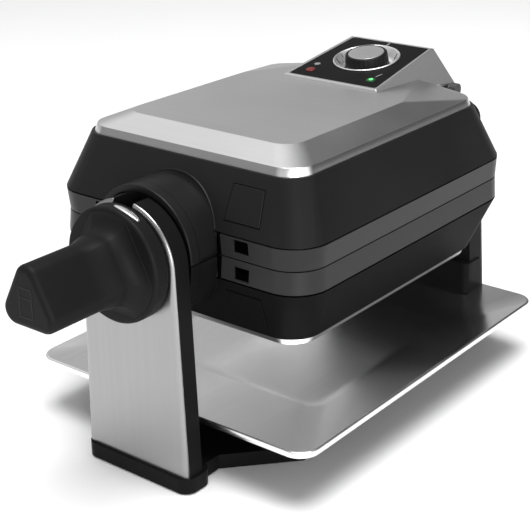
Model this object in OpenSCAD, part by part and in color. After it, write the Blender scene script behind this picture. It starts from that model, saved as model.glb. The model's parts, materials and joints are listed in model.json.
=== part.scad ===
// Rotating double waffle maker on a weighted base.
// Millimetres, +Z up. X runs across the machine, -Y is the handle end.
// The origin is on the table, under the middle of the overall length and width.
// A rotor (the lower half) turns about a lengthwise axis between a front leg
// and a rear tower; the lid (the upper half) is hinged on the rotor.

/* [Axis and base] */
// Height of the rotation axis above the table
axis_h = 160; // [158:1:170]
// Half width of the steel deck of the base
deck_half = 124.8; // [120:0.2:130]
// Height of the deck rim above the table
deck_z = 45.2; // [44:0.2:46]
// Depth from the deck rim down to its middle pan
deck_dip = 6; // [5:0.5:8]
// Height of the band around the foot of the base
band_h = 12; // [10:0.5:13]

/* [Body] */
// Half width of the body at the belt
body_half = 112; // [108:0.5:114]
// Length of the body at the belt
body_len = 262; // [256:1:264]
// Height of each belt from the parting plane
belt_h = 15.4; // [13:0.2:17]
// Height of the side wall edge above the parting plane
wall_z = 56; // [52:0.5:58]
// How far the side walls lean in from the belt to the edge
wall_in = 15.5; // [13:0.5:17]
// Height of the flat steel panel above the parting plane
cap_z = 69.5; // [67:0.5:71]
// Width of the chamfer around the flat steel panel
cap_chamfer = 21; // [18:0.5:23]

/* [Baking plates] */
// Depth of each cavity
cavity = 11; // [8:0.5:12]
// Squares across one cavity
pins_x = 4; // [3:1:5]
// Squares along one cavity
pins_y = 9; // [7:1:10]

/* [Control console] */
// Slope of the console face
console_tilt = 9.5; // [8:0.5:10.5]
// Radius of the dished dial
dial_r = 26.3; // [24:0.1:27]
// Radius of the steel disc on the knob
knob_r = 14; // [12:0.1:14.4]

/* [Handle and leg] */
// Radius of the round head of the front leg
head_r = 41; // [40:0.5:42]
// Radius of the handle collar
collar_r = 39.5; // [37:0.5:40]
// Length of the grip in front of the collar
grip_len = 71.5; // [60:0.5:80]
// Width of the handle shaft
shaft_w = 16; // [14:0.2:16]

/* [Hidden] */
$fn = 64;
eps = 0.01;
front = -132;                    // front face of the belts
rear = front + body_len;         // rear face of the belts
gap = 0.4;                       // each half stops this far from the parting plane
groove = 1.2;                    // shadow groove between belt and wall
skin = 2.6;                      // wall of the plastic shells
wall_lo = belt_h + groove;
wall_top = body_half - wall_in;
wall_lean = atan2(wall_z - wall_lo, wall_in);
rim_half = wall_top - 2;
rim_z = wall_z + 5.4;
leg_front = -173.7;
clad_t = 1.5;                    // thickness of the leg's steel face
clad_depth = 2.5;                // how far its edge wraps round the leg
clad_wall = 1.4;
leg_back = -158.5;
liner_r = 22.4;
sleeve_r = 19.4;
slot_half = shaft_w / 2 + 0.6;
hub_front = -149;
hub_r = 42;
hub_lift = 4;
hinge_y = rear + 6;
hinge_z = 55;
hinge_x = 58;                    // middle of each carrier arm
knuckle_x = 46;
knuckle_w = 7.6;
tower_half = 74.5;               // at the deck
tower_lean = 9;                  // how much narrower each side is at the top
tower_front = 146;
tower_back = 166;
tower_top = axis_h + 38;
journal_r = 12;
console_y = 49;
console_z = cap_z + 0.9;
console_len = 87;
dial_s = 51;
button_x = 60.8;
button_z = 35.8;
button_half = 12.6;              // half of a release button's height
button_low = 15;                 // half of its width beside the belt
button_high = 13.1;              // half of its width beside the cap
vent_x = 61.7;                   // middle of each vent window
plate_screw_x = 82;
lamp_x = 28;
lamp_s = 15.4;                   // up the console face
leg_screw_x = 26;
leg_screw_y = -163;
tower_screw_x = 54;
tower_screw_z = [24, 182];
foot_front = 139;                // front of the tower's foot
foot_top = 70;
foot_z = 8;                      // where tower and foot stand on the base
gland_z = 30;
pin_r = 2.5;                     // hinge pins
pin_inner = 42;                  // inner end of each hinge pin
clip_y = rear + 28;              // groove of the journal clip
mark_y = -182;
mark_w = 2.8;
collar_y = -187;                 // where grip and collar meet
base_rear = 168;
shift_y = (grip_len - collar_y - base_rear) / 2;
frame_in = wall_top - 8;
plate_half = 98;
plate_front = front + 16;
plate_rear = rear - 22;
plate_t = 16;
ledge_z = 1.6;                   // inner ledge of the belt that carries the plate clips
clip_gap = 0.15;                 // from the side of a plate to its clips
clip_w = 14;
heater_r = 3.2;
heater_bend = 66;                // radius of the heater's front bend
plate_top = gap + 0.6 + plate_t; // back face of a baking plate

// ---------- shapes used by several pieces ----------

// everything is drawn with the deck near y = 0, then moved so that the origin is
// under the middle of the whole machine, handle included
module placed() translate([0, shift_y, 0]) children();

// rounded rectangle, half width w, from y = a to y = b
module plan(w, a, b, r) {
  translate([-w + r, a]) square([2 * (w - r), b - a]);
  translate([-w, a + r]) square([2 * w, b - a - 2 * r]);
  for (x = [-w + r, w - r], y = [a + r, b - r]) translate([x, y]) circle(r = r);
}

module slab(w, a, b, r, z, t = 0.1) translate([0, 0, z]) linear_extrude(t) plan(w, a, b, r, $fn = 32);

// box with rounded vertical corners
module pad(w, a, b, r, z, t) translate([0, 0, z]) linear_extrude(t) plan(w, a, b, r);

// cylinder along +Y starting at y = a
module along_y(r, a, len, r2 = -1) translate([0, a, 0]) rotate([-90, 0, 0])
  cylinder(r1 = r, r2 = r2 < 0 ? r : r2, h = len);

// outline drawn in X and Z, pushed along +Y from y = a
module prism_y(a, len) translate([0, a + len, 0]) rotate([90, 0, 0]) linear_extrude(len) children();

module upper() translate([0, 0, axis_h]) children();
module lower() translate([0, 0, axis_h]) mirror([0, 0, 1]) children();

// ---------- one half of the body, drawn above the parting plane ----------

module wall_solid(d = 0) hull() {
  slab(body_half - d, front + d, rear - d, 26 - d, wall_lo);
  slab(wall_top - d, front + wall_in + d, rear - wall_in - d, 22 - d, wall_z - 0.1);
}

module hub_outline(grow = 0) {
  translate([0, hub_lift]) circle(r = hub_r + grow);
  translate([-hub_r - grow, gap]) square([2 * (hub_r + grow), hub_lift]);
}

// above-parting part of the hub outline
module hub_half(grow = 0) intersection() {
  hub_outline(grow);
  translate([-60, gap]) square([120, 60]);
}

module button_frame() translate([button_x, front + (button_z - wall_lo) / tan(wall_lean), button_z])
  rotate([wall_lean, 0, 0]) children();

// sloping wall with a ledge for the steel cap and a box that guides the button
module half_shell() difference() {
  union() {
    difference() {
      wall_solid();
      hull() {
        slab(body_half - skin - 2, front + skin + 2, rear - skin - 2, 22, wall_lo - 0.1);
        slab(wall_top - skin - 1, front + wall_in + skin + 1, rear - wall_in - skin - 1, 19, wall_z - 2.6);
      }
      slab(frame_in, front + wall_in + 8, rear - wall_in - 8, 14, wall_z - 3, 4);
    }
    button_frame() translate([0, 0, -13.5]) linear_extrude(12.5) button_outline(3.3);
  }
  button_frame() translate([0, 0, -12]) linear_extrude(10) button_outline(1.9);
  button_frame() translate([0, 0, -5]) linear_extrude(20) button_outline();
}

module button_outline(d = 0) polygon([[-button_low - d, -button_half - d], [button_low + d, -button_half - d],
  [button_high + d, button_half + d], [-button_high - d, button_half + d]]);

module half_belt() difference() {
  union() {
    hull() {
      slab(body_half - 1.4, front + 1.4, rear, 25, gap);
      slab(body_half, front, rear, 26, belt_h - 0.1);
    }
    pad(body_half - 2.2, front + 2.2, rear - 2.2, 24, belt_h - eps, groove);
  }
  pad(body_half - 5.5, front + 5.5, rear - 5.5, 21, ledge_z + 2.8, 30);
  pad(plate_half + 0.3, plate_front - 0.3, plate_rear + 0.3, 12.3, -1, 30);
  for (s = [-1, 1]) translate([s * vent_x - 6.2, front - 1, 5]) cube([12.4, 4.2, 9]);
}

module vent_grilles() for (s = [-1, 1]) translate([s * vent_x, front + 1.7, 5]) difference() {
  translate([-6, 0, 0.2]) cube([12, 1.4, 8.6]);
  for (k = [0 : 2]) translate([-4.8, -1, 1.4 + 2.5 * k]) cube([9.6, 1.7, 1.3]);
}

module cap_solid(d = 0) hull() {
  slab(rim_half - d, front + wall_in + 2 + d, rear - wall_in - 2 - d, 20, wall_z, 0.1);
  slab(rim_half - 1 - d, front + wall_in + 3 + d, rear - wall_in - 3 - d, 20, rim_z - 0.1 - d);
  slab(rim_half - cap_chamfer - d, front + wall_in + 2 + cap_chamfer + d, console_y - d, 15,
    cap_z - 0.1 - d);
  slab(50 - d, 30, rear - 26 - d, 9, cap_z - 1.4 - d);
}

module half_cap() difference() {
  cap_solid();
  cap_solid(1.2);
  slab(rim_half - 1.2, front + wall_in + 3.2, rear - wall_in - 3.2, 19, wall_z - 0.1, 1);
}

// waffle pattern of one cavity, centred on x = 0
module pin_grid(w, a, b) {
  px = w / pins_x;
  py = (b - a) / pins_y;
  for (i = [0 : pins_x - 1], j = [0 : pins_y - 1])
    translate([-w / 2 + px * i + px * 0.26, a + py * j + py * 0.26]) square([px * 0.48, py * 0.48]);
}

module half_plate() {
  cav_w = plate_half - 10;
  difference() {
    pad(plate_half, plate_front, plate_rear, 12, gap + 0.6, plate_t);
    for (s = [-1, 1]) translate([s * (cav_w / 2 + 4), 0, 0])
      pad(cav_w / 2, plate_front + 7, plate_rear - 7, 5, -1, cavity + 2);
  }
  for (s = [-1, 1]) translate([s * (cav_w / 2 + 4), 0, gap + 2.6])
    linear_extrude(cavity - 1.5) pin_grid(cav_w, plate_front + 7, plate_rear - 7);
}

// tube loop that heats one plate: a wide front bend, two runs and two rear bends
module half_heater() translate([0, 0, plate_top + heater_r + 0.1]) {
  bend_y = plate_front + heater_bend + 14;
  run = 90;
  end_r = 26;
  translate([0, bend_y, 0]) rotate([0, 0, 180]) heater_arc(heater_bend, 180);
  for (s = [-1, 1]) {
    translate([s * heater_bend, bend_y, 0]) rotate([-90, 0, 0]) cylinder(r = heater_r, h = run, $fn = 32);
    translate([s * (heater_bend - end_r), bend_y + run, 0]) {
      rotate([0, 0, s > 0 ? 0 : 90]) heater_arc(end_r, 90);
      translate([0, end_r, 0]) rotate([0, -s * 90, 0]) cylinder(r = heater_r, h = 24, $fn = 32);
    }
  }
}

module heater_arc(r, a) rotate_extrude(angle = a) translate([r, 0]) circle(r = heater_r, $fn = 32);

module at_screws() for (s = [-1, 1], y = [plate_front + 20, plate_rear - 20])
  translate([s * plate_screw_x, y, 0]) children();

module half_reflector() difference() {
  pad(90, plate_front + 8, plate_rear - 8, 14, plate_top, 14);
  pad(89, plate_front + 9, plate_rear - 9, 13, plate_top - 1, 14);
  at_screws() cylinder(r = 1.8, h = 80, $fn = 32);
}

// spring clips that hold a plate against the belt's ledge
module plate_clips() for (s = [0, 1], y = [-70, 60]) mirror([s, 0, 0])
  translate([plate_half + clip_gap, y - clip_w / 2, ledge_z + 2.8]) {
    cube([4.6, clip_w, 3]);
    translate([0, 0, 3]) cube([1.6, clip_w, 10]);
  }

// four screws that hold the reflector on the back of the plate
module half_screws() at_screws() {
  translate([0, 0, plate_top]) cylinder(r = 1.7, h = 14.2, $fn = 32);
  translate([0, 0, plate_top + 14]) cylinder(r = 3.4, h = 2, $fn = 32);
}

module half_button() button_frame() {
  translate([0, 0, -4.4]) linear_extrude(5) button_outline(-0.5);
  translate([0, 0, -6]) linear_extrude(1.6) button_outline(1.5);
}

// coil spring drawn at its pressed length, behind the button
module half_spring() button_frame() translate([0, 0, -12]) difference() {
  cylinder(r = 4.4, h = 3.3, $fn = 32);
  translate([0, 0, -1]) cylinder(r = 3.6, h = 11, $fn = 32);
}

module half_hub() difference() {
  prism_y(hub_front, 40) hub_half();
  wall_solid();
  translate([-150, front, -1]) cube([300, 60, wall_lo + 1]);
  translate([-shaft_w / 2, hub_front - 1, -1]) cube([shaft_w, 60, shaft_w / 2 + 1]);
}

// ---------- base ----------

// footprint: foot under the leg, neck, flare and main plate
module base_slab(d, z, t) union() {
  pad(48 - d, -176 + d, -150 - d, 9, z, t);
  translate([-41 + d, -160, z]) cube([82 - 2 * d, 60, t]);
  translate([0, 0, z]) linear_extrude(t) polygon([[-41 + d, -136], [-82 + d, -92], [-82 + d, -50],
    [82 - d, -50], [82 - d, -92], [41 - d, -136]]);
  pad(84 - d, -94 + d, base_rear - d, 18, z, t);
}

// solid under the top face of the deck, moved up or down by z
module deck_solid(z) hull() {
  slab(deck_half, -148, 165, 15, deck_z - 1.2 + z, 1.2);
  slab(80, -78, 85, 6, deck_z - deck_dip - 1.2 + z);
}

module base_frame() placed() color([0.07, 0.07, 0.075]) {
  difference() {
    union() {
      base_slab(0, 1, band_h - 1);
      hull() {
        slab(84, -94, base_rear, 18, band_h - 0.2);
        slab(deck_half - 2.4, -145.4, 162.4, 13, deck_z - 4, 2);
      }
    }
    base_slab(3, 0, 3.6);
    pad(80, -90, 164, 15, 3.5, band_h);
    hull() {
      slab(80, -90, 164, 15, band_h);
      slab(deck_half - 12, -136, 153, 10, deck_z - 8);
    }
    deck_solid(-0.1);
    translate([-tower_half - 0.5, foot_front - 1, foot_z]) cube([2 * tower_half + 1, 60, 60]);
    for (s = [-1, 1]) translate([s * leg_screw_x, leg_screw_y, -1]) cylinder(r = 2.4, h = 40, $fn = 32);
  }
  translate([-60, 140, 3.6]) cube([120, 24.5, 4.4]);
}

module base_feet() placed() color([0.12, 0.12, 0.12]) {
  for (s = [-1, 1]) {
    translate([s * 37, leg_screw_y, 0]) cylinder(r = 6.5, h = 2.2);
    translate([s * 66, -72, 0]) cylinder(r = 9, h = 2.2);
    translate([s * 66, 148, 0]) cylinder(r = 9, h = 2.2);
  }
}

module base_bottom_plate() placed() color([0.2, 0.2, 0.2]) difference() {
  base_slab(3, 2.2, 1.4);
  for (s = [-1, 1]) translate([s * leg_screw_x, leg_screw_y, 0]) cylinder(r = 2.4, h = 10, $fn = 32);
}

module base_screws() placed() color([0.7, 0.7, 0.7]) for (s = [-1, 1])
  translate([s * leg_screw_x, leg_screw_y, 1.4]) {
    cylinder(r = 4, h = 0.8, $fn = 32);
    cylinder(r = 2.4, h = 24, $fn = 32);
  }

module steel_deck() placed() color([0.75, 0.75, 0.74]) difference() {
  union() {
    deck_solid(0);
    difference() {
      pad(deck_half, -148, 165, 15, deck_z - 4.2, 3.2);
      pad(deck_half - 1.2, -146.8, 163.8, 13.8, deck_z - 5, 6);
    }
  }
  hull() {
    slab(deck_half - 2, -146, 163, 14, deck_z - 0.1, 1);
    slab(80, -78, 85, 6, deck_z - deck_dip, 8);
  }
  translate([-tower_half - 0.3, foot_front - 0.6, 0]) cube([2 * tower_half + 0.6, 60, 60]);
}

// the leg seen from the front: a round head on a post that widens to its foot
module leg_slab(r, foot, a, len) union() {
  along_y(r, a, len);
  prism_y(a, len) polygon([[-r, 0], [r, 0], [foot, band_h - axis_h], [-foot, band_h - axis_h]]);
}

module slot_cut(a, len) translate([-slot_half, a, 0]) cube([2 * slot_half, len, 60]);

module front_leg_core() placed() color([0.06, 0.06, 0.065]) upper() difference() {
  union() {
    leg_slab(head_r - clad_wall, 46 - clad_wall, leg_front + clad_t, 2);
    leg_slab(head_r, 46, leg_front + clad_depth, leg_back - leg_front - clad_depth);
  }
  along_y(liner_r, -200, 60);
  slot_cut(-200, 60);
  for (s = [-1, 1]) translate([s * leg_screw_x, leg_screw_y, band_h - axis_h - 1])
    cylinder(r = 2.4, h = 15, $fn = 32);
}

module front_leg_cladding() placed() color([0.78, 0.78, 0.77]) upper() difference() {
  leg_slab(head_r, 46, leg_front, clad_depth);
  leg_slab(head_r - clad_wall, 46 - clad_wall, leg_front + clad_t, 10);
  along_y(liner_r + 1, -200, 60);
  slot_cut(-200, 60);
}

module front_bearing_liner() placed() color([0.25, 0.25, 0.26]) upper() difference() {
  along_y(liner_r, leg_front + 1, leg_back - leg_front - 1);
  along_y(sleeve_r + 0.08, -200, 60);
  slot_cut(-200, 60);
}

module rear_tower() placed() color([0.06, 0.06, 0.065]) difference() {
  union() {
    prism_y(tower_front, tower_back - tower_front - 3) tower_outline();
    translate([-tower_half, tower_front, foot_z])
      cube([2 * tower_half, tower_back - tower_front - 6, foot_top - foot_z]);
  }
  prism_y(tower_front + 3, 30) tower_outline(3);
  translate([3 - tower_half, tower_front + 3, foot_z + 3])
    cube([2 * tower_half - 6, 30, foot_top - foot_z - 6]);
  upper() along_y(17, 100, 100);
}

// hollow foot in front of the tower, in the notch of the deck
module tower_foot() placed() color([0.06, 0.06, 0.065]) difference() {
  translate([0, 0, foot_z]) linear_extrude(foot_top - foot_z) intersection() {
    plan(tower_half, foot_front, tower_back, 5);
    translate([-100, foot_front]) square([200, tower_front - foot_front]);
  }
  translate([3 - tower_half, foot_front + 3, foot_z + 3])
    cube([2 * tower_half - 6, 30, foot_top - foot_z - 6]);
}

// tower seen from the front: upright to the deck, then narrowing to two round shoulders
module tower_outline(d = 0) {
  shoulder_r = 12;
  top_half = tower_half - tower_lean;
  shoulder_x = top_half - shoulder_r;
  shoulder_z = tower_top - shoulder_r;
  polygon([[-tower_half + d, foot_z + d], [tower_half - d, foot_z + d], [tower_half - d, deck_z],
    [top_half - d, shoulder_z], [d - top_half, shoulder_z], [-tower_half + d, deck_z]]);
  translate([-shoulder_x, shoulder_z - 1]) square([2 * shoulder_x, shoulder_r + 1 - d]);
  for (s = [-1, 1]) translate([s * shoulder_x, shoulder_z]) circle(r = shoulder_r - d);
}

module rear_tower_cover() placed() color([0.08, 0.08, 0.085]) difference() {
  prism_y(tower_back - 3, 3) tower_outline();
  translate([0, 100, gland_z]) rotate([-90, 0, 0]) cylinder(r = 7, h = 100);
  for (s = [-1, 1], z = tower_screw_z) translate([s * tower_screw_x, 100, z]) rotate([-90, 0, 0])
    cylinder(r = 1.7, h = 100, $fn = 32);
}

module rear_bearing_bush() placed() color([0.62, 0.5, 0.28]) upper() difference() {
  union() {
    along_y(17, tower_front, 10);
    along_y(20, tower_front + 3, 7);
  }
  along_y(journal_r + 0.06, 100, 100);
}

module cord_gland() placed() color([0.1, 0.1, 0.1]) difference() {
  translate([0, tower_back - 6, gland_z]) rotate([-90, 0, 0]) {
    cylinder(r = 7, h = 7);
    translate([0, 0, 6]) cylinder(r = 9, h = 2);
    cylinder(r = 9, h = 3);
  }
  translate([0, 100, gland_z]) rotate([-90, 0, 0]) cylinder(r = 3.4, h = 100, $fn = 32);
}

module tower_screws() placed() color([0.7, 0.7, 0.7]) for (s = [-1, 1], z = tower_screw_z)
  translate([s * tower_screw_x, tower_back - 8, z]) rotate([-90, 0, 0]) {
    cylinder(r = 1.7, h = 8.4, $fn = 32);
    translate([0, 0, 8]) cylinder(r = 3.2, h = 1.4, $fn = 32);
  }

// ---------- rotor: the lower half and its bearings ----------

module lower_shell() placed() color([0.07, 0.07, 0.075]) lower() half_shell();
module lower_belt() placed() color([0.13, 0.13, 0.135]) lower() half_belt();
module lower_steel_cap() placed() color([0.78, 0.78, 0.77]) lower() half_cap();
module lower_plate() placed() color([0.16, 0.16, 0.17]) lower() half_plate();
module lower_heater() placed() color([0.5, 0.48, 0.45]) lower() half_heater();
module lower_reflector() placed() color([0.7, 0.7, 0.7]) lower() half_reflector();
module lower_vent_grilles() placed() color([0.03, 0.03, 0.03]) lower() vent_grilles();
module lower_plate_clips() placed() color([0.7, 0.7, 0.7]) lower() plate_clips();
module lower_screws() placed() color([0.7, 0.7, 0.7]) lower() half_screws();
module lower_button_spring() placed() color([0.6, 0.6, 0.6]) lower() half_spring();
module lower_release_button() placed() color([0.08, 0.08, 0.085]) lower() half_button();

module lower_hub() placed() color([0.07, 0.07, 0.075]) difference() {
  lower() half_hub();
  upper() translate([-slot_half, -200, -shaft_w / 2 - 0.6]) cube([2 * slot_half, 100, 60]);
}

module front_sleeve() placed() color([0.6, 0.6, 0.6]) upper() difference() {
  along_y(sleeve_r, leg_front - 0.8, hub_front - leg_front + 0.8);
  translate([-30, leg_back - 0.2, -1]) cube([60, 20, 40]);
  translate([-slot_half, -200, -shaft_w / 2 - 0.6]) cube([2 * slot_half, 100, 60]);
}

module carrier_arm(s) translate([s * hinge_x - 3, 0, 0]) {
  translate([0, rear + 0.6, -30]) cube([6, 6, 30 + hinge_z]);
  translate([0, hinge_y - 3, 10]) cube([6, 6, hinge_z - 10]);
  translate([0, hinge_y, hinge_z]) rotate([0, 90, 0]) cylinder(r = 5, h = 6);
}

module rear_carrier() placed() color([0.3, 0.3, 0.31]) upper() difference() {
  union() {
    translate([-hinge_x - 3, rear, -14]) cube([2 * hinge_x + 6, 5, 13]);
    translate([-hinge_x - 3, rear + 0.6, -30]) cube([2 * hinge_x + 6, 5, 20]);
    along_y(24, rear + 0.6, 5);
    carrier_arm(-1);
    carrier_arm(1);
  }
  translate([-hinge_x - 1, hinge_y, hinge_z]) rotate([0, 90, 0])
    cylinder(r = pin_r, h = 2 * hinge_x + 2, $fn = 32);
}

module rear_journal() placed() color([0.62, 0.62, 0.62]) upper() {
  along_y(16, rear + 5.6, 4);
  difference() {
    along_y(journal_r, rear + 9.6, 22);
    along_y(4, rear + 15, 30);
    difference() {
      along_y(journal_r + 2, clip_y, 1.4);
      along_y(journal_r - 1.4, clip_y - 1, 4);
    }
  }
}

module journal_clip() placed() color([0.5, 0.5, 0.5]) upper() difference() {
  along_y(journal_r + 2.4, clip_y + 0.1, 1.2);
  along_y(journal_r - 1.4, clip_y - 1, 4);
  translate([-2, clip_y - 1, 0]) cube([4, 4, 30]);
}

module hinge_pins() placed() color([0.75, 0.75, 0.75]) upper() for (s = [-1, 1])
  translate([s > 0 ? pin_inner : -hinge_x - 1, hinge_y, hinge_z]) rotate([0, 90, 0])
    cylinder(r = pin_r, h = hinge_x + 1 - pin_inner, $fn = 32);

// ---------- lid: the upper half with console and handle ----------

module upper_shell() placed() color([0.07, 0.07, 0.075]) upper() half_shell();
module upper_belt() placed() color([0.13, 0.13, 0.135]) upper() half_belt();
module upper_plate() placed() color([0.16, 0.16, 0.17]) upper() half_plate();
module upper_heater() placed() color([0.5, 0.48, 0.45]) upper() half_heater();
module upper_reflector() placed() color([0.7, 0.7, 0.7]) upper() half_reflector();
module upper_hub() placed() color([0.07, 0.07, 0.075]) upper() half_hub();
module upper_vent_grilles() placed() color([0.03, 0.03, 0.03]) upper() vent_grilles();
module upper_plate_clips() placed() color([0.7, 0.7, 0.7]) upper() plate_clips();
module upper_screws() placed() color([0.7, 0.7, 0.7]) upper() half_screws();
module upper_button_spring() placed() color([0.6, 0.6, 0.6]) upper() half_spring();
module upper_release_button() placed() color([0.08, 0.08, 0.085]) upper() half_button();

module upper_steel_cap() placed() color([0.78, 0.78, 0.77]) upper() difference() {
  half_cap();
  translate([-30, 62, 40]) cube([60, 46, 60]);
}

module on_console() upper() translate([0, console_y, console_z]) rotate([console_tilt, 0, 0]) children();

module console_face(d, t) linear_extrude(t)
  polygon([[-43 + d, d], [43 - d, d], [38.5 - d, console_len - d], [-38.5 + d, console_len - d]]);

module console_bulk(d) hull() {
  on_console() translate([0, 0, -0.1 - d]) console_face(d, 0.1);
  translate([0, 0, axis_h + 58 + (d > 0 ? -1 : 0)]) linear_extrude(0.1)
    polygon([[-44 + d, console_y + 2 + d], [44 - d, console_y + 2 + d],
      [54 - d, hinge_y + 7 - d], [-54 + d, hinge_y + 7 - d]]);
}

module console_housing() placed() color([0.78, 0.78, 0.77]) difference() {
  console_bulk(0);
  console_bulk(1.8);
  upper() cap_solid();
  upper() translate([-150, console_y, 40]) cube([300, 64, wall_z + 5 - 40]);
  on_console() translate([0, dial_s, -20]) cylinder(r = dial_r - 1, h = 40);
  on_console() translate([0, 0, -1.4]) linear_extrude(5) panel_outline(0.1);
}

module panel_outline(d = 0)
  polygon([[-41.4 - d, 1.8 - d], [41.4 + d, 1.8 - d], [37.2 + d, 85.4 + d], [-37.2 - d, 85.4 + d]]);

module console_panel() placed() color([0.05, 0.05, 0.055]) on_console() difference() {
  translate([0, 0, -1.4]) linear_extrude(1.4) panel_outline();
  translate([0, dial_s, -5]) cylinder(r = dial_r - 1, h = 10);
  for (s = [-1, 1]) translate([s * lamp_x, lamp_s, -5]) cylinder(r = 3.6, h = 10, $fn = 32);
}

module dial_ring() placed() color([0.85, 0.85, 0.85]) on_console() translate([0, dial_s, 0])
  rotate_extrude() polygon([[dial_r - 1.1, -1.3], [dial_r - 1.1, 0.05], [dial_r, 0.05],
    [dial_r - 0.2, 0.9], [dial_r - 1.6, 0.9], [dial_r - 4.4, -4.2], [19, -6.4], [17.8, -6.4],
    [17.8, -7.4], [19.5, -7.4], [dial_r - 3.4, -4.6]]);

module red_lamp() placed() color([0.6, 0.08, 0.08]) on_console()
  translate([-lamp_x, lamp_s, 0]) lamp_body();
module green_lamp() placed() color([0.08, 0.5, 0.12]) on_console()
  translate([lamp_x, lamp_s, 0]) lamp_body();
module lamp_body() translate([0, 0, -1.4]) cylinder(r = 3.4, h = 2.2, $fn = 48);

module thermostat() placed() color([0.75, 0.73, 0.68]) on_console() translate([0, dial_s, 0]) difference() {
  translate([-16, -22, -19]) cube([32, 27, 11]);
  translate([0, 0, -30]) cylinder(r = 4.2, h = 40, $fn = 48);
}

module knob_body() placed() color([0.07, 0.07, 0.075]) on_console() translate([0, dial_s, 0]) {
  ribs = 30;
  difference() {
    union() {
      translate([0, 0, -6.6]) cylinder(r1 = knob_r + 3.2, r2 = knob_r + 2.3, h = 10.4);
      translate([0, 0, 3.8]) cylinder(r1 = knob_r + 2.3, r2 = knob_r + 1, h = 1);
    }
    translate([0, 0, 2.8]) cylinder(r = knob_r, h = 4);
    for (k = [0 : ribs - 1]) rotate([0, 0, k * 360 / ribs]) translate([knob_r + 4, 0, -8])
      cylinder(r = 1.3, h = 9, $fn = 16);
  }
  translate([0, 0, -18]) cylinder(r = 4.13, h = 12, $fn = 48);
}

module knob_cap() placed() color([0.8, 0.8, 0.8]) on_console() translate([0, dial_s, 2.8])
  cylinder(r = knob_r - 0.02, h = 2.1);

module handle_shaft() placed() color([0.3, 0.3, 0.31]) upper() {
  along_y(shaft_w / 2, collar_y, front - collar_y);
  translate([-shaft_w / 2, collar_y, 0]) cube([shaft_w, front - collar_y, shaft_w / 2]);
  along_y(5, collar_y - 63, 63);
}

module grip_outline() hull() {
  translate([0, 14]) circle(r = 10, $fn = 48);
  for (s = [-1, 1]) translate([s * 12, -8]) circle(r = 10, $fn = 48);
}

module handle_collar() placed() color([0.06, 0.06, 0.065]) upper() difference() {
  translate([0, -175.4, 0]) rotate([90, 0, 0]) rotate_extrude()
    polygon([[0, 0], [collar_r - 1, 0], [collar_r, 1], [collar_r, 11], [collar_r - 1.4, 12.4], [33, 13],
      [29, 15], [26.5, 19], [25.4, 24], [0, 24]]);
  along_y(5, collar_y - 73, 100);
  translate([-shaft_w / 2, collar_y, 0]) cube([shaft_w, 30, shaft_w / 2]);
  along_y(shaft_w / 2, collar_y, 30);
  mark_band();
}

// band of the collar under the chrome mark, from its top towards +X
module mark_band() difference() {
  intersection() {
    along_y(collar_r + 0.4, mark_y, mark_w);
    rotate([0, 16, 0]) prism_y(mark_y, mark_w) polygon([[0, 0], [18, 60], [-18, 60]]);
  }
  along_y(collar_r - 1.2, collar_y - 3, 30);
}

module handle_mark() placed() color([0.85, 0.85, 0.85]) upper() mark_band();

module handle_grip() placed() color([0.09, 0.09, 0.09]) upper() difference() {
  prism_y(collar_y - grip_len, grip_len - 12.4) grip_outline();
  along_y(5, collar_y - 63, 63);
  translate([-7, collar_y - 1 - grip_len, -12]) cube([14, 1.6, 24]);
}

module handle_badge() placed() color([0.5, 0.5, 0.5]) upper()
  translate([0, collar_y - grip_len, 0]) difference() {
    translate([-7, 0, -12]) cube([14, 0.6, 24]);
    for (x = [-5.6, 0.6], z = [-10.4, -3.2, 4]) translate([x, -1, z]) cube([5, 3, 6]);
  }

module lid_hinge_knuckles() placed() color([0.3, 0.3, 0.31]) upper() difference() {
  for (s = [-1, 1]) translate([s * knuckle_x - knuckle_w / 2, 0, 0]) {
    translate([0, hinge_y, hinge_z]) rotate([0, 90, 0]) cylinder(r = 4.6, h = knuckle_w);
    translate([0, rear - 20, hinge_z - 5]) cube([knuckle_w, 26, 4]);
  }
  wall_solid();
  translate([-100, hinge_y, hinge_z]) rotate([0, 90, 0]) cylinder(r = 2.56, h = 200, $fn = 32);
}

base_frame();
base_feet();
base_bottom_plate();
base_screws();
steel_deck();
front_leg_core();
front_leg_cladding();
front_bearing_liner();
rear_tower();
tower_foot();
rear_tower_cover();
rear_bearing_bush();
cord_gland();
tower_screws();
lower_shell();
lower_belt();
lower_steel_cap();
lower_plate();
lower_heater();
lower_reflector();
lower_hub();
front_sleeve();
rear_carrier();
rear_journal();
journal_clip();
hinge_pins();
lower_vent_grilles();
lower_plate_clips();
lower_screws();
lower_button_spring();
lower_release_button();
upper_shell();
upper_belt();
upper_steel_cap();
console_housing();
console_panel();
dial_ring();
red_lamp();
green_lamp();
thermostat();
upper_plate();
upper_heater();
upper_reflector();
upper_hub();
handle_shaft();
handle_collar();
handle_mark();
handle_grip();
handle_badge();
lid_hinge_knuckles();
upper_vent_grilles();
upper_plate_clips();
upper_screws();
upper_button_spring();
upper_release_button();
knob_body();
knob_cap();
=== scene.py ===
"""Looks of a rotating double waffle maker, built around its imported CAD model."""
import json
import math

import bpy
import bmesh
from mathutils import Matrix, Vector


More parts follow.
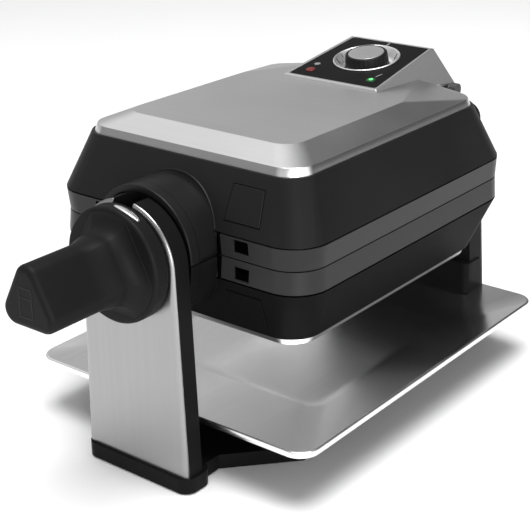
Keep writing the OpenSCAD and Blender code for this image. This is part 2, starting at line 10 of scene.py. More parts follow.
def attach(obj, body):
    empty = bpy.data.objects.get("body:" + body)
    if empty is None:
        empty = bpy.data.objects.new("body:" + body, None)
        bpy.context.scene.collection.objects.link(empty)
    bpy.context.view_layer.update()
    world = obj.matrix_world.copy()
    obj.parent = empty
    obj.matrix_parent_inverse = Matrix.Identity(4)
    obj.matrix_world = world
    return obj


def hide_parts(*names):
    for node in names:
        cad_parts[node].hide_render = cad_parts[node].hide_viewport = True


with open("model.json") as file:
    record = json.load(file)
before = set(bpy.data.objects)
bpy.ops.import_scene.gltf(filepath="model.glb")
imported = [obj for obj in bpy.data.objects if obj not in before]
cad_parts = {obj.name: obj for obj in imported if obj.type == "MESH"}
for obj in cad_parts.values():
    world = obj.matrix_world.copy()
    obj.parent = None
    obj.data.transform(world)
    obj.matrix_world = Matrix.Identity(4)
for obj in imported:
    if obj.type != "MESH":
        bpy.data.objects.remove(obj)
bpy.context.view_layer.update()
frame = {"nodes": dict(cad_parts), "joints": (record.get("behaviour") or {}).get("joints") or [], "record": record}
nodes = frame["nodes"]
record = frame["record"]
joints = {joint["name"]: joint for joint in frame["joints"]}

MM = 0.001
AXIS = Vector(joints["rotor_turn"]["pos_m"])    # drawing origin: on the turning axis, over the deck's middle


# ---------- materials ----------

NOISE_LOW, NOISE_HIGH = 0.3, 0.7    # most of what a noise gives lies between these


class Finish:
    """A Principled material with a few helpers for procedural detail in object space."""

    def __init__(self, name, **constants):
        self.material = bpy.data.materials.new(name)
        self.material.use_nodes = True
        self.tree = self.material.node_tree
        self.shader = self.tree.nodes["Principled BSDF"]
        self.place = self.add("ShaderNodeTexCoord").outputs["Object"]
        self.height = None
        for socket, value in constants.items():
            self.shader.inputs[socket.replace("_", " ")].default_value = value

    def add(self, kind):
        return self.tree.nodes.new(kind)

    def link(self, a, b):
        self.tree.links.new(a, b)

    def noise(self, scale, detail, stretch=(1, 1, 1)):
        mapping = self.add("ShaderNodeMapping")
        mapping.inputs["Scale"].default_value = stretch
        self.link(self.place, mapping.inputs["Vector"])
        noise = self.add("ShaderNodeTexNoise")
        noise.inputs["Scale"].default_value = scale
        noise.inputs["Detail"].default_value = detail
        self.link(mapping.outputs["Vector"], noise.inputs["Vector"])
        return noise.outputs["Fac"]

    def spread(self, value, low, high, start=NOISE_LOW, end=NOISE_HIGH):
        """Maps start..end, by default the usual reach of a noise, to low..high."""
        ranged = self.add("ShaderNodeMapRange")
        ranged.inputs["From Min"].default_value = start
        ranged.inputs["From Max"].default_value = end
        ranged.inputs["To Min"].default_value = low
        ranged.inputs["To Max"].default_value = high
        self.link(value, ranged.inputs["Value"])
        return ranged.outputs["Result"]

    def tint(self, value, dark, light):
        ramp = self.add("ShaderNodeValToRGB")
        ramp.color_ramp.elements[0].color = (*dark, 1)
        ramp.color_ramp.elements[0].position = NOISE_LOW
        ramp.color_ramp.elements[1].color = (*light, 1)
        ramp.color_ramp.elements[1].position = NOISE_HIGH
        self.link(value, ramp.inputs["Fac"])
        self.link(ramp.outputs["Color"], self.shader.inputs["Base Color"])

    def roughness(self, value, low, high):
        self.link(self.spread(value, low, high), self.shader.inputs["Roughness"])

    def bump(self, value, depth, strength):
        """Adds relief on top of any that the material has, with its depth in metres."""
        bump = self.add("ShaderNodeBump")
        bump.inputs["Distance"].default_value = depth
        bump.inputs["Strength"].default_value = strength
        self.link(value, bump.inputs["Height"])
        if self.height:
            self.link(self.height, bump.inputs["Normal"])
        self.height = bump.outputs["Normal"]
        self.link(self.height, self.shader.inputs["Normal"])


def grey(level):
    return (level, level, level)


def brushed_steel(name, along, level=0.72, rough=0.31):
    """Satin steel whose fine scratches run along one axis."""
    finish = Finish(name, Metallic=1.0)
    scratch_stretch = 0.012
    stretch = [scratch_stretch if axis == along else 1.0 for axis in "xyz"]
    hairs = finish.noise(3200, 2.0, stretch)
    streaks = finish.noise(420, 3.0, stretch)
    clouds = finish.noise(9, 2.0)
    finish.tint(streaks, grey(level * 0.975), grey(level * 1.015))
    finish.roughness(clouds, rough - 0.03, rough + 0.04)
    finish.bump(hairs, 0.000012, 0.6)
    finish.bump(streaks, 0.00002, 0.12)
    return finish.material


def shaded_rim_steel(name):
    """Steel of the caps' upright rims with painted shade: dark grey, tinted lighter towards a painted highlight
    where the rim turns a corner.
    """
    finish = Finish(name, Metallic=1.0, Roughness=0.32)
    facing = finish.add("ShaderNodeSeparateXYZ")
    finish.link(finish.add("ShaderNodeTexCoord").outputs["Normal"], facing.inputs["Vector"])
    product = finish.add("ShaderNodeMath")
    product.operation = "MULTIPLY"
    size = finish.add("ShaderNodeMath")
    size.operation = "ABSOLUTE"
    finish.link(facing.outputs["X"], product.inputs[0])
    finish.link(facing.outputs["Y"], product.inputs[1])
    finish.link(product.outputs["Value"], size.inputs[0])
    # painted shade on the upright rim, dark grey, rising to a painted highlight in light grey where the rim turns
    # a corner
    finish.tint(finish.spread(size.outputs["Value"], 0, 1, 0, 0.4), grey(0.34), grey(0.88))
    finish.bump(finish.noise(2000, 2.0), 0.000008, 0.5)
    return finish.material


def moulded_plastic(name, level, rough=0.42, grain=1.0, specular=0.18):
    """Dark plastic with the fine spark-eroded grain of a mould and slightly cloudy gloss."""
    finish = Finish(name, Specular_IOR_Level=specular)
    clouds = finish.noise(14, 3.0)
    specks = finish.noise(2600, 2.0)
    finish.tint(clouds, grey(level * 0.88), grey(level * 1.12))
    finish.roughness(clouds, rough - 0.04, rough + 0.05)
    finish.bump(specks, 0.00003 * grain, 0.5)
    return finish.material


def cast_metal(name, colour, rough=0.5, metallic=0.85):
    """Cast or coated metal with small pits."""
    finish = Finish(name, Metallic=metallic)
    clouds = finish.noise(40, 4.0)
    pits = finish.noise(1100, 3.0)
    finish.tint(clouds, [c * 0.85 for c in colour], [c * 1.15 for c in colour])
    finish.roughness(clouds, rough - 0.06, rough + 0.08)
    finish.bump(pits, 0.00006, 0.5)
    return finish.material


def turned_metal(name, colour, rough=0.34):
    """Machined or plated metal with a fine grain."""
    finish = Finish(name, Metallic=1.0)
    grain = finish.noise(1500, 2.0)
    clouds = finish.noise(60, 2.0)
    finish.tint(clouds, [c * 0.92 for c in colour], [c * 1.06 for c in colour])
    finish.roughness(grain, rough - 0.05, rough + 0.07)
    finish.bump(grain, 0.00001, 0.4)
    return finish.material


def coloured_lens(name, colour, glow):
    """Coloured plastic over a lamp, which makes it glow a little."""
    finish = Finish(name, Roughness=0.35, Coat_Weight=0.15, Coat_Roughness=0.1, Specular_IOR_Level=0.25,
                    Emission_Color=(*colour, 1), Emission_Strength=glow)
    finish.tint(finish.noise(300, 2.0), [c * 0.7 for c in colour], colour)
    finish.bump(finish.noise(900, 1.0), 0.00001, 0.3)
    return finish.material


def printed(name, level):
    """Flat printed ink."""
    finish = Finish(name, Roughness=0.5)
    finish.tint(finish.noise(800, 2.0), grey(level * 0.9), grey(level))
    return finish.material


steel_across = brushed_steel("steel_grain_x", "x")
# deck steel, brighter than the cap steel as painted light, and smoother
deck_steel_painted_light = brushed_steel("steel_grain_y_brightened", "y", 0.92, 0.2)
# lower cap steel, brighter than the cap steel as painted light to make up for the shade it sits in, and rougher
under_steel_painted_light = brushed_steel("steel_grain_under_brightened", "x", 0.85, 0.45)
# leg steel, much darker than the cap steel as painted shade
leg_steel_painted_shade = brushed_steel("steel_grain_z_darkened", "z", 0.35, 0.32)
steel_rim_painted_shade = shaded_rim_steel("steel_rim_painted_shade")
# darker copies of the black plastic with almost no sheen, as painted shade for the parts that sit low in the shade
shaded_black = moulded_plastic("black_plastic_low_shaded", 0.006, 0.5, 1.0, 0.02)
base_shaded_black = moulded_plastic("black_plastic_base_shaded", 0.006, 0.45, 1.0, 0.06)
lit_green = coloured_lens("lit_green", (0.12, 0.75, 0.2), 0.6)
dark_ink = printed("dark_ink", 0.02)
white_ink = printed("white_ink", 0.28)

slots = {
    "black_plastic": moulded_plastic("black_plastic", 0.007),
    "belt_plastic": moulded_plastic("belt_plastic", 0.022, 0.38),
    "brushed_steel": steel_across,
    "rubber_pad": moulded_plastic("rubber_pad", 0.02, 0.7, 3.0, 0.3),
    "dark_steel_sheet": cast_metal("dark_steel_sheet", grey(0.06), 0.5, 0.4),
    "fastener": turned_metal("fastener", grey(0.55)),
    "bearing_plastic": moulded_plastic("bearing_plastic", 0.06, 0.35, 0.5),
    "brass_bush": turned_metal("brass_bush", (0.62, 0.44, 0.18)),
    "gland_rubber": moulded_plastic("gland_rubber", 0.018, 0.65, 2.0, 0.3),
    "coated_casting": cast_metal("coated_casting", grey(0.035), 0.36, 0.3),
    "heater_sheath": cast_metal("heater_sheath", (0.3, 0.27, 0.23), 0.45),
    "reflector": brushed_steel("reflector", "y"),
    "machined_steel": turned_metal("machined_steel", grey(0.5)),
    "dark_casting": cast_metal("dark_casting", grey(0.05), 0.5, 0.5),
    "vent_black": moulded_plastic("vent_black", 0.001, 0.8, 1.0, 0.0),
    "button_plastic": moulded_plastic("button_plastic", 0.007, 0.45),
    "panel_black": moulded_plastic("panel_black", 0.004, 0.5, 1.6, 0.08),
    "chrome_trim": turned_metal("chrome_trim", grey(0.9)),
    "red_lens": coloured_lens("red_lens", (0.13, 0.008, 0.008), 0.04),
    "green_lens": coloured_lens("green_lens", (0.003, 0.05, 0.009), 0.15),
    "thermostat_body": cast_metal("thermostat_body", (0.5, 0.47, 0.42), 0.4),
    "grip_plastic": moulded_plastic("grip_plastic", 0.007, 0.5, 1.4, 0.1),
    "badge_grey": moulded_plastic("badge_grey", 0.008, 0.5),
    "knob_plastic": moulded_plastic("knob_plastic", 0.005, 0.45),
}
slot_of = {part["node"]: part["material_slot"] for part in record["subparts"]}


# ---------- finishing ----------

COPLANAR = 0.6          # faces within this angle in degrees count as one
CAD_CREASE = 26         # smallest angle in degrees that counts as an edge on a CAD node
CREASE = 12             # the same, on a piece made here


def paint(obj, slot, material=None):
    obj.data.materials.clear()
    obj.data.materials.append(material or slots[slot])


def bevel(obj, width, angle):
    """Rounds the edges that turn by more than an angle in degrees."""
    edge = obj.modifiers.new("edge", "BEVEL")
    edge.limit_method = "ANGLE"
    edge.angle_limit = math.radians(angle)
    edge.width = width * MM
    edge.segments = 3
    edge.use_clamp_overlap = True


def favour_large_faces(obj):
    """Shades a rounded piece so that its flat faces look flat."""
    normals = obj.modifiers.new("normals", "WEIGHTED_NORMAL")
    normals.weight = 80
    return normals


def soften(obj, width):
    """Rounds the sharp edges of a tessellated CAD node without touching its mesh."""
    weld = obj.modifiers.new("weld", "WELD")
    weld.merge_threshold = 0.02 * MM
    flat = obj.modifiers.new("flat", "DECIMATE")
    flat.decimate_type = "DISSOLVE"
    flat.angle_limit = math.radians(COPLANAR)
    bevel(obj, width, CAD_CREASE)
    favour_large_faces(obj).keep_sharp = False


# ---------- mesh building ----------

UPPER, LOWER = 1, -1
CONSOLE_FOOT = (49, 70.4)           # y and z of the front edge of the console's face
CONSOLE_TILT = math.radians(9.5)


def at(x, y, z):
    """A point of the drawing, in millimetres from the axis, as a place in the frame."""
    return AXIS + Vector((x, y, z)) * MM


def around_axis(x, z, y):
    return at(x, y, z)


def console(x, s, n):
    """A point on the console: across, up its face, and out of its face."""
    y, z = CONSOLE_FOOT
    rise, run = math.sin(CONSOLE_TILT), math.cos(CONSOLE_TILT)
    return at(x, y + s * run - n * rise, z + s * rise + n * run)


def arc(first, last, steps):
    """Cosine and sine at even steps from one angle to another, in degrees."""
    turns = [math.radians(first + (last - first) * k / steps) for k in range(steps + 1)]
    return [(math.cos(turn), math.sin(turn)) for turn in turns]


def mesh_object(name, shape):
    """A new object from (points, faces), with its faces turned outwards."""
    mesh = bpy.data.meshes.new(name)
    mesh.from_pydata(shape[0], [], shape[1])
    work = bmesh.new()
    work.from_mesh(mesh)
    bmesh.ops.recalc_face_normals(work, faces=work.faces)
    work.to_mesh(mesh)
    work.free()
    obj = bpy.data.objects.new(name, mesh)
    bpy.context.scene.collection.objects.link(obj)
    return obj


def tool(shape):
    """A shape that only cuts another one."""
    return mesh_object("tool", shape)


def cut_away(obj, cutters):
    """Takes the cutters out of a piece for good, and removes them."""
    for cutter in cutters:
        cut = obj.modifiers.new("cut", "BOOLEAN")
        cut.operation = "DIFFERENCE"
        cut.object = cutter
    graph = bpy.context.evaluated_depsgraph_get()
    cut_mesh = bpy.data.meshes.new_from_object(obj.evaluated_get(graph))
    obj.modifiers.clear()
    obj.data = cut_mesh
    for cutter in cutters:
        bpy.data.objects.remove(cutter)


def build(name, body, slot, shape, replaces=(), material=None, rounding=0.0, sheet=0.0, cutters=(),
          flat=True):
    """Makes a piece from (points, faces) and lets it ride on a body.

    Rounding is the radius of its edges and sheet its thickness inwards, both in millimetres. A piece
    with flat faces is shaded so that they look flat.
    """
    obj = mesh_object(name, shape)
    for face in obj.data.polygons:
        face.use_smooth = True
    if rounding:
        bevel(obj, rounding, CREASE)
    if sheet:
        skin = obj.modifiers.new("sheet", "SOLIDIFY")
        skin.thickness = sheet * MM
        skin.offset = -1
    if cutters:
        cut_away(obj, cutters)
    if flat:
        favour_large_faces(obj)
    paint(obj, slot, material)
    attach(obj, body)
    if replaces:
        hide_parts(*replaces)
    return obj


def loft(rings, closed=False, ends=(True, True)):
    """Skins a list of rings that have the same number of points."""
    count = len(rings[0])
    points = [p for ring in rings for p in ring]
    faces = []
    for i in range(len(rings) if closed else len(rings) - 1):
        j = (i + 1) % len(rings)
        for k in range(count):
            m = (k + 1) % count
            faces.append((i * count + k, i * count + m, j * count + m, j * count + k))
    if not closed and ends[0]:
        faces.append(tuple(range(count)))
    if not closed and ends[1]:
        faces.append(tuple((len(rings) - 1) * count + k for k in range(count)))
    return points, faces


def plan(half, front, back, r, z):
    """Rounded rectangle at one height, from one depth to another."""
    corners = ((half - r, back - r, 0), (r - half, back - r, 90), (r - half, front + r, 180),
               (half - r, front + r, 270))
    return [at(x + r * c, y + r * s, z) for x, y, start in corners for c, s in arc(start, start + 90, 12)]


def block(place, x0, x1, y0, y1, z0, z1):
    """Box between two corners, in whichever frame place gives."""
    return loft([[place(x0, y0, z), place(x1, y0, z), place(x1, y1, z), place(x0, y1, z)] for z in (z0, z1)])


def revolve(profile, place, steps=96, closed=False):
    """Turns (radius, height) points; place maps across, along and height to the frame."""
    rings = [[place(radius * c, radius * s, height) for c, s in arc(0, 360, steps)[:-1]]
             for radius, height in profile]
    return loft(rings, closed)


def hull_of(rings, open_z):
    """Convex skin over rings of points, with its flat side at height open_z left out."""
    work = bmesh.new()
    for ring in rings:
        for p in ring:
            work.verts.new(p)
    bmesh.ops.convex_hull(work, input=work.verts)
    loose = [v for v in work.verts if not v.link_faces]
    bmesh.ops.delete(work, geom=loose, context="VERTS")
    bmesh.ops.dissolve_limit(work, angle_limit=math.radians(COPLANAR), verts=work.verts, edges=work.edges)
    flat = [f for f in work.faces if all(abs(v.co.z - open_z) < 0.1 * MM for v in f.verts)]
    bmesh.ops.delete(work, geom=flat, context="FACES")
    work.verts.index_update()
    shape = [v.co.copy() for v in work.verts], [tuple(v.index for v in f.verts) for f in work.faces]
    work.free()
    return shape


# ---------- steel parts ----------

DECK_TOP = 45.2 - AXIS.z / MM               # height of the deck's rim, from the axis
LEG_HEAD, LEG_FOOT, LEG_DROP = 41, 46, 148  # radius of the leg's round head, half width and drop of its foot


def steel_cap(name, body, half, material):
    """Pressed cap: upright rim, chamfer, flat panel, and a narrower and slightly lower shelf behind it."""
    side, front, back, corner = 94.5, -114.5, 112.5, 20         # the rim's lower edge, seen from above
    lean, chamfer = 1.9, 21                                     # how far in the rim ends and the panel starts
    rim_low, rim_high, panel_high, shelf_high = 56 * half, 61.3 * half, 69.5 * half, 68.1 * half
    rim = [plan(side, front, back, corner, rim_low),
           plan(side - lean, front + lean, back - lean, corner - 1, rim_high)]
    panel = plan(side - chamfer, front + chamfer, 49, 15, panel_high)
    shelf = plan(50, 30, 104, 9, shelf_high)
    shape = hull_of(rim + [panel, shelf], at(0, 0, rim_low).z)
    cap = build(name + "_skin", body, "brushed_steel", shape, [name], material, rounding=0.8, sheet=1.0)
    # the upright faces take the rim steel with painted shade and painted corner highlights
    cap.data.materials.append(steel_rim_painted_shade)
    upright, rim_shade_index = 0.5, 1        # a face counts as upright if its normal rises less than this
    for face in cap.data.polygons:
        if abs(face.normal.z) < upright:
            face.material_index = rim_shade_index


def deck():
    """Dished tray with a rolled rim, soft creases round its pan, and a notch for the tower."""
    side, front, back = 124.8, -148, 165
    rim = ((0, 15, 4.2), (0, 15, 1.1), (0.3, 14.8, 0.4), (1, 14.4, 0), (2, 14, 0.1))   # inset, corner, drop
    rings = [plan(side - inset, front + inset, back - inset, corner, DECK_TOP - drop)
             for inset, corner, drop in rim]
    pan_side, pan_front, pan_back, pan_corner, pan_top = 80, -78, 85, 10, DECK_TOP - 6
    for out, rise in ((9, 1.25), (6, 0.8), (3, 0.3), (0, 0.06), (-4, 0.0)):
        rings.append(plan(pan_side + out, pan_front - out, pan_back + out, pan_corner + 0.4 * out,
                          pan_top + rise))
    notch_side, notch_front = 74.8, 138.4       # half width of the notch, and where it starts
    behind, above = 180, 12                     # the cutter ends here, outside the sheet
    notch = tool(block(at, -notch_side, notch_side, notch_front, behind, DECK_TOP - above, DECK_TOP + above))
    build("deck_sheet", "base", "brushed_steel", loft(rings, ends=(False, True)), ["steel_deck"],
          deck_steel_painted_light, sheet=1.1, cutters=[notch])


def leg_outline(inset, y):
    """Outline of the leg's face, drawn in by an inset."""
    foot, head = LEG_FOOT - inset, LEG_HEAD - inset
    return ([at(-foot, y, -LEG_DROP), at(foot, y, -LEG_DROP), at(head, y, 0)]
            + [at(head * c, y, head * s) for c, s in arc(0, 180, 40)[1:-1]] + [at(-head, y, 0)])


def leg_cladding():
    """Steel face of the leg, whose broad edge curves back over the post."""
    face, back, broad, deep = -173.7, -171.2, 4.6, 2.2
    rings = [leg_outline(broad * (1 - s), face + deep * (1 - c)) for c, s in arc(0, 90, 7)]
    rings.append(leg_outline(0, back))
    bore_r, slot_side = 23.4, 8.6               # the opening round the handle shaft, and its slot on top
    before, behind, above = -180, -150, 60      # the cutters end here, outside the sheet
    bore = tool(revolve([(bore_r, before), (bore_r, behind)], around_axis, 64))
    slot = tool(block(at, -slot_side, slot_side, before, behind, 0, above))
    build("leg_skin", "base", "brushed_steel", loft(rings, ends=(True, False)), ["front_leg_cladding"],
          leg_steel_painted_shade, sheet=1.0, cutters=[bore, slot])


# ---------- handle ----------

def collar():
    """Round collar: a flat band with a soft edge on each side."""
    profile = [(0, -175.4), (38.6, -175.4), (39.3, -175.8), (39.5, -176.4), (39.5, -184.4),
               (39.2, -185.6), (38.4, -186.5), (37.2, -187), (0, -187)]
    build("collar_skin", "lid", "black_plastic", revolve(profile, around_axis), ["handle_collar"],
          slots["grip_plastic"])


def grip_ring(inset, y, roundness=0.0, radius=25.0):
    """Three-sided outline with wide corners, turning into a circle as roundness goes to 1."""
    corner = 10 - inset
    ring = []
    for x_mid, z_mid, first, last in ((0, 14, 28.6, 151.4), (-12, -8, 151.4, 270), (12, -8, 270, 388.6)):
        for c, s in arc(first, last, 14):
            x, z = x_mid + corner * c, z_mid + corner * s
            grow = 1 + roundness * (radius / math.hypot(x, z) - 1)
            ring.append(at(x * grow, y, z * grow))
    return ring


def grip():
    """Three-sided grip that turns round towards the collar and flares out to meet it."""
    end, edge = -258.3, 4.2                     # front end and the radius of its edge
    neck, neck_len, neck_r = -219, 19.6, 25     # where the grip turns round, and the radius it turns to
    flare_end, sweep = -187.2, 12.2             # where the flare ends, and its radius
    rings = [grip_ring(edge + 3, end), grip_ring(edge + 0.6, end), grip_ring(edge, end)]
    rings += [grip_ring(edge * (1 - s), end + edge * (1 - c)) for c, s in arc(0, 90, 7)[1:]]
    rings.append(grip_ring(0, -236))
    for share in (k / 20 for k in range(21)):
        rings.append(grip_ring(0, neck + neck_len * share, share * share * (3 - 2 * share), neck_r))
    for c, s in arc(90, 0, 20)[1:]:
        rings.append(grip_ring(0, flare_end - sweep * (1 - c), 1, neck_r + sweep * (1 - s)))
    rings.append(grip_ring(0, -186.4, 1, 36.6))
    rings.append(grip_ring(0, -186.3, 1, 30))
    build("grip_skin", "lid", "grip_plastic", loft(rings), ["handle_grip"], flat=False)


def badge():
    """Plain engraved frame with one cross bar on the end of the grip."""
    face, relief = -258.5, 0.4
    bars = [(-6, 6, 9, 10.1), (-6, 6, -10.1, -9), (-6, -4.9, -9, 9), (4.9, 6, -9, 9), (-4.9, 4.9, 2.6, 3.6)]
    points, faces = [], []
    for x0, x1, z0, z1 in bars:
        more, sides = block(at, x0, x1, face, face + relief, z0, z1)
        faces += [tuple(i + len(points) for i in side) for side in sides]
        points += more
    build("badge_frame", "lid", "badge_grey", (points, faces), ["handle_badge"], rounding=0.15)


def mark():
    """Chrome arc let into the collar's band, with rounded ends."""
    y_mid, half_width, first, last, steps = -180.6, 2.3, 1, 32, 24
    rings = []
    for k, (c, s) in enumerate(arc(first, last, steps)):
        share = min(max(k / steps, 0.04), 0.96)
        width = half_width * math.sin(math.pi * share) ** 0.35
        section = ((38.4, width), (39.75, width), (39.95, 0.5 * width), (39.95, -0.5 * width),
                   (39.75, -width), (38.4, -width))
        rings.append([at(radius * s, y_mid + y, radius * c) for radius, y in section])
    build("mark_inlay", "lid", "chrome_trim", loft(rings), ["handle_mark"])


# ---------- hub ----------

HUB_R, HUB_RISE = 42.3, 4       # radius of the hub's arch, and the height of its middle over the axis
HUB_PART = 0.4                  # half the gap between the upper and the lower hub
HEAD_CLEAR = 41.8               # the shroud stays outside this radius, clear of the leg's head


def hub_ring(radius, y, half):
    """Outline of one half of the hub: an arch on two short upright sides."""
    arch = [at(radius * c, y, (HUB_RISE + radius * s) * half) for c, s in arc(0, 180, 36)[1:-1]]
    return ([at(radius, y, HUB_PART * half), at(radius, y, HUB_RISE * half)] + arch
            + [at(-radius, y, HUB_RISE * half), at(-radius, y, HUB_PART * half)])


def hub_shroud(name, body, half, material):
    """Thin edge that runs on from the hub towards the leg, outside its round head."""
    outline = ([(HUB_R, HUB_PART)] + [(HUB_R * c, HUB_RISE + HUB_R * s) for c, s in arc(0, 180, 48)]
               + [(-HUB_R, HUB_PART)])
    sections = []
    for x, z in outline:
        inside = HEAD_CLEAR / math.hypot(x, z)
        soft = 1 - min(0.016, 0.4 * (1 - inside))
        sections.append([at(x * share, y, z * share * half) for share, y in
                         ((1, -149.1), (1, -149.6), (1, -156.2), (0.5 + 0.5 * soft, -157), (soft, -157.3),
                          (inside, -157.3), (inside, -156.8), (inside, -149.6), (inside, -149.1))])
    build(name + "_shroud", body, "black_plastic", loft(sections), material=material)


def hub_lip(name, body, half, material):
    """Round bead where the hub meets the sloping front wall."""
    path_r, bead_out, bead_up = 42.6, 0.9, 1.1
    wall_foot, foot_z, wall_run, wall_rise = -132, 16.6, 15.5, 39.4
    sections = []
    for c, s in arc(18, 162, 48):
        z = HUB_RISE + path_r * s
        wall = wall_foot + (z - foot_z) * wall_run / wall_rise
        sections.append([at((path_r + bead_out * out) * c, wall + bead_up * up,
                            (z + bead_out * s * out) * half) for out, up in arc(0, 360, 10)[:-1]])
    build(name + "_lip", body, "black_plastic", loft(sections), material=material)


def hub(name, body, half, material):
    """Half of the round hub in front of the wall, with its shroud, flat black strips of painted shade for the gaps
    at its sides, and its lip.
    """
    sizes = ((41.9, -149.4), (42.2, -149.3), (HUB_R, -149), (HUB_R, -134), (42.4, -130), (42.5, -118))
    slot_side = 8 if half == UPPER else 8.6     # the handle shaft fills the width of the upper hub's slot
    slot_low, slot_high = -9.2, 9
    before, behind = -160, -105                 # the cutter ends here, outside the hub
    slot = tool(block(at, -slot_side, slot_side, before, behind, slot_low, slot_high))
    build(name + "_skin", body, "black_plastic", loft([hub_ring(r, y, half) for r, y in sizes]), [name],
          material, cutters=[slot])
    hub_shroud(name, body, half, material)
    for side, label in ((-1, "left"), (1, "right")):
        # flat black strips beside the hub as painted shade for the gaps there
        gap_shade = block(at, side * 42.4, side * 44.9, -132.2, -128, 0.6 * half, 16.3 * half)
        build(f"{name}_gap_{label}", body, "vent_black", gap_shade)
    hub_lip(name, body, half, material)


# ---------- console ----------

FACE_LEN, FACE_FRONT, FACE_BACK = 87, 43, 38.5      # the face's length, and its half width at both ends
DIAL_UP, LAMP_UP = 51, 15.4                         # the middles of the dial and the lamps, up the face


def dial_place(x, s, n):
    """A point measured from the dial's middle."""
    return console(x, DIAL_UP + s, n)


def dish():
    """Chromed ring and its sloping inside, with dark graduations."""
    profile = [(26.2, 0.02), (26.3, 0.5), (25.9, 0.9), (25.2, 0.9), (24.6, 0.45), (23.6, -1.2), (22, -3.9),
               (20.6, -5.7), (19.2, -6.35), (17.8, -6.4), (17.8, -7.3), (19.6, -7.3), (23.4, -4),
               (24.9, -1.3), (25.2, 0.02)]
    build("dial_dish", "lid", "chrome_trim", revolve(profile, dial_place, 128, closed=True), ["dial_ring"])
    slope_r, slope_n, slope_rise = 20.6, -5.7, 1.5
    for k, (c, s) in enumerate(arc(135, 405, 12)):
        long_tick = k % 3 == 0
        inner, width = (21.5, 0.5) if long_tick else (22.6, 0.32)

        def on_slope(across, radius, lift, c=c, s=s):
            depth = slope_n + (radius - slope_r) * slope_rise + lift
            return dial_place(radius * c - across * s, radius * s + across * c, depth)

        tick = block(on_slope, -width, width, inner, 24.2, 0.0, 0.35)
        build(f"dial_tick_{k:02d}", "lid", "panel_black", tick, material=dark_ink, rounding=0.1)


def knob():
    """Black knob with fine ribs and a steel disc on top."""
    steps, ribs = 240, 30
    profile = [(17.15, -6.5), (17.1, -5), (16.9, -2), (16.55, 1.4), (16.35, 3.4), (16.1, 4.2), (15.5, 4.65),
               (14.9, 4.78), (14.2, 4.78), (14.1, 4.5), (14.1, 3)]
    rings = []
    for radius, n in profile:
        rib_depth = 0.28 if n < 1.5 else 0.12 if n < 3.5 else 0
        ring = []
        for k, (c, s) in enumerate(arc(0, 360, steps)[:-1]):
            r = radius - rib_depth * (0.5 - 0.5 * math.cos(ribs * 2 * math.pi * k / steps))
            ring.append(dial_place(r * c, r * s, n))
        rings.append(ring)
    build("knob_grip", "knob", "knob_plastic", loft(rings), ["knob_body"])
    disc = [(0, 3), (13.95, 3), (13.95, 4.7), (13.8, 4.8), (13.5, 4.82), (0, 4.82)]
    build("knob_disc", "knob", "brushed_steel", revolve(disc, dial_place, 96), ["knob_cap"])


def face_outline(front, side, back, r):
    """Rounded outline on the tapering face, at these distances from its front, sides and back."""
    taper = FACE_FRONT - FACE_BACK
    near = FACE_FRONT - taper * front / FACE_LEN - side
    far = FACE_BACK + taper * back / FACE_LEN - side
    top, low = FACE_LEN - back - r, front + r
    corners = ((far - r, top, 0), (r - far, top, 90), (r - near, low, 180), (near - r, low, 270))
    return [(x + r * c, up + r * s) for x, up, start in corners for c, s in arc(start, start + 90, 6)]


def console_frame():
    """Bright border round the black panel, broadest along the front."""
    section = ((0, -0.2), (0, 0.1), (0.2, 0.28), (0.9, 0.28), (1, 0.18), (1, -0.2))
    sections = []
    for (x0, s0), (x1, s1) in zip(face_outline(0.3, 0.3, 0.3, 0.8), face_outline(3.4, 2.9, 0.9, 2.2)):
        sections.append([console((1 - share) * x0 + share * x1, (1 - share) * s0 + share * s1, n)
                         for share, n in section])
    build("console_border", "lid", slot_of["console_housing"], loft(sections, closed=True), flat=False)


def stroke(name, x0, s0, x1, s1, width):
    """Printed stroke between two points of the panel."""
    dx, ds = x1 - x0, s1 - s0
    length = math.hypot(dx, ds)

    def along(u, v, n):
        return console(x0 + (dx * u - ds * v) / length, s0 + (ds * u + dx * v) / length, n)

    bar = block(along, 0, length, -width / 2, width / 2, 0.0, 0.08)
    build(name, "lid", "panel_black", bar, material=white_ink, rounding=0.03)


def prints():
    """Index line, heat sign and ready line on the panel."""
    stroke("index_line", 0, 78.2, 0, 84, 1.1)
    stroke("ready_line", 28, 22, 29.4, 28.4, 0.8)
    sign_x, sign_up, sign_r = -30, 27, 2.7
    for k, (c, s) in enumerate(arc(0, 135, 3)):
        x, up = sign_r * c, sign_r * s
        stroke(f"heat_ray_{k}", sign_x - x, sign_up - up, sign_x + x, sign_up + up, 0.75)


def lamp(name, slot, middle):
    """Low domed lens over a lamp; the green one is lit."""
    def place(u, v, n):
        return console(middle + u, LAMP_UP + v, n)

    dome = [(0, -1.3), (3.8, -1.3), (3.8, 0.2), (3.5, 0.5), (2.4, 0.68), (0, 0.76)]
    build(name + "_lens", "lid", slot, revolve(dome, place, 40), [name])
    if name == "green_lamp":
        core = [(0, 0.3), (1.8, 0.3), (1.8, 0.76), (1.3, 0.88), (0, 0.92)]
        build(name + "_core", "lid", slot, revolve(core, place, 32), material=lit_green)


# ---------- the pieces ----------

edge_radius = {"console_housing": 0.6, "console_panel": 0.25, "upper_plate": 0.8, "lower_plate": 0.8,
               "front_leg_core": 0.9}
usual_radius = 0.5
# the lower shell, its button and the parts round the base take the copies of black plastic with painted shade
low_parts_shaded_black = {
    "lower_shell": shaded_black, "lower_release_button": shaded_black,
    "base_frame": base_shaded_black, "rear_tower": base_shaded_black, "tower_foot": base_shaded_black,
    "front_leg_core": base_shaded_black,
}
for name, cad in nodes.items():
    paint(cad, slot_of[name], low_parts_shaded_black.get(name))
    soften(cad, edge_radius.get(name, usual_radius))

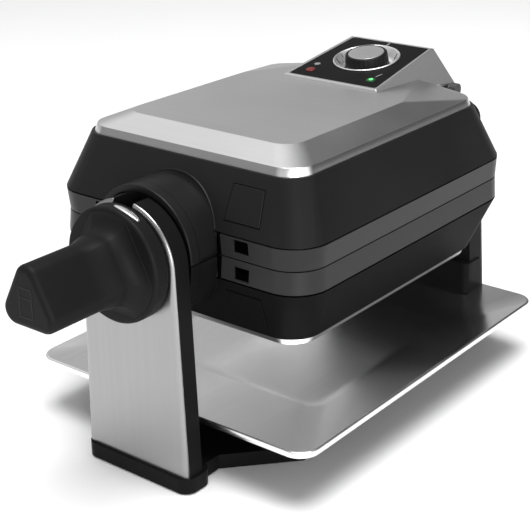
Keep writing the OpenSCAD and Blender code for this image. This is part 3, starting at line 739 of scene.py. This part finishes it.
steel_cap("upper_steel_cap", "lid", UPPER, steel_across)
steel_cap("lower_steel_cap", "rotor", LOWER, under_steel_painted_light)
deck()
leg_cladding()
collar()
grip()
badge()
mark()
hub("upper_hub", "lid", UPPER, slots["black_plastic"])
hub("lower_hub", "rotor", LOWER, shaded_black)
console_frame()
dish()
knob()
prints()
lamp("red_lamp", "red_lens", -28)
lamp("green_lamp", "green_lens", 28)


# ---------- floor, light and camera ----------

def floor():
    """Pale floor, far wider than the machine."""
    reach = 12.0
    corners = [(-reach, -reach, 0), (reach, -reach, 0), (reach, reach, 0), (-reach, reach, 0)]
    mesh = bpy.data.meshes.new("floor")
    mesh.from_pydata(corners, [], [(0, 1, 2, 3)])
    obj = bpy.data.objects.new("floor", mesh)
    bpy.context.scene.collection.objects.link(obj)
    pale = Finish("pale_floor", Roughness=0.7)
    pale.tint(pale.noise(3, 2.0), grey(0.88), grey(0.9))
    mesh.materials.append(pale.material)


def surroundings():
    """Even pale surroundings, with soft lighter and darker patches for the steel to reflect."""
    base_strength = 0.42
    patches = (     # where a patch lies, cosines of its core's and its edge's angle, and what it adds
        ((-0.66, 0.24, 0.71), 0.97, 0.88, 0.42),
        ((0.00, 0.78, 0.62), 0.98, 0.82, -0.38),
        ((0.62, 0.78, 0.05), 0.985, 0.93, -0.38),
        ((-0.56, -0.80, 0.23), 0.96, 0.80, 0.27),
        ((0.97, 0.00, 0.18), 0.98, 0.92, 1.3),
    )
    world = bpy.data.worlds.new("studio")
    bpy.context.scene.world = world
    world.use_nodes = True
    tree = world.node_tree
    background = tree.nodes["Background"]
    background.inputs["Color"].default_value = (1, 1, 1, 1)
    direction = tree.nodes.new("ShaderNodeTexCoord").outputs["Generated"]
    total = None
    for aim, core, edge, amount in patches:
        dot = tree.nodes.new("ShaderNodeVectorMath")
        dot.operation = "DOT_PRODUCT"
        dot.inputs[1].default_value = Vector(aim).normalized()
        tree.links.new(direction, dot.inputs[0])
        patch = tree.nodes.new("ShaderNodeMapRange")
        patch.interpolation_type = "SMOOTHSTEP"
        patch.inputs["From Min"].default_value = edge
        patch.inputs["From Max"].default_value = core
        patch.inputs["To Max"].default_value = amount
        tree.links.new(dot.outputs["Value"], patch.inputs["Value"])
        added = tree.nodes.new("ShaderNodeMath")
        added.inputs[1].default_value = base_strength
        if total:
            tree.links.new(total, added.inputs[1])
        tree.links.new(patch.outputs["Result"], added.inputs[0])
        total = added.outputs["Value"]
    tree.links.new(total, background.inputs["Strength"])


def softbox(name, place, width, height, power):
    """Soft rectangular light that faces the machine."""
    light = bpy.data.lights.new(name, "AREA")
    light.shape = "RECTANGLE"
    light.size = width
    light.size_y = height
    light.energy = power
    holder = bpy.data.objects.new(name, light)
    bpy.context.scene.collection.objects.link(holder)
    holder.location = place
    holder.rotation_euler = (AXIS - Vector(place)).to_track_quat("-Z", "Y").to_euler()


def camera():
    """Long lens, in front of the machine's right corner and above it."""
    lens = bpy.data.cameras.new("camera")
    lens.sensor_width = 36
    lens.lens = 88.7
    lens.shift_x = -0.0615
    lens.shift_y = -0.0187
    obj = bpy.data.objects.new("camera", lens)
    bpy.context.scene.collection.objects.link(obj)
    from_axis = Vector((0.5607, -0.7249, 0.3193))
    heading, pitch, roll = 37.37, 67.86, -0.42
    obj.matrix_world = (
        Matrix.Translation(AXIS + from_axis)
        @ Matrix.Rotation(math.radians(heading), 4, "Z")
        @ Matrix.Rotation(math.radians(pitch), 4, "X")
        @ Matrix.Rotation(math.radians(roll), 4, "Z")
    )
    bpy.context.scene.camera = obj


floor()
surroundings()
softbox("edge_light", (1.9, -1.5, 0.5), 0.9, 0.8, 26)
softbox("top_light", (0.35, -0.2, 2.8), 1.8, 1.8, 96)
camera()
bpy.context.scene.view_settings.view_transform = "Standard"
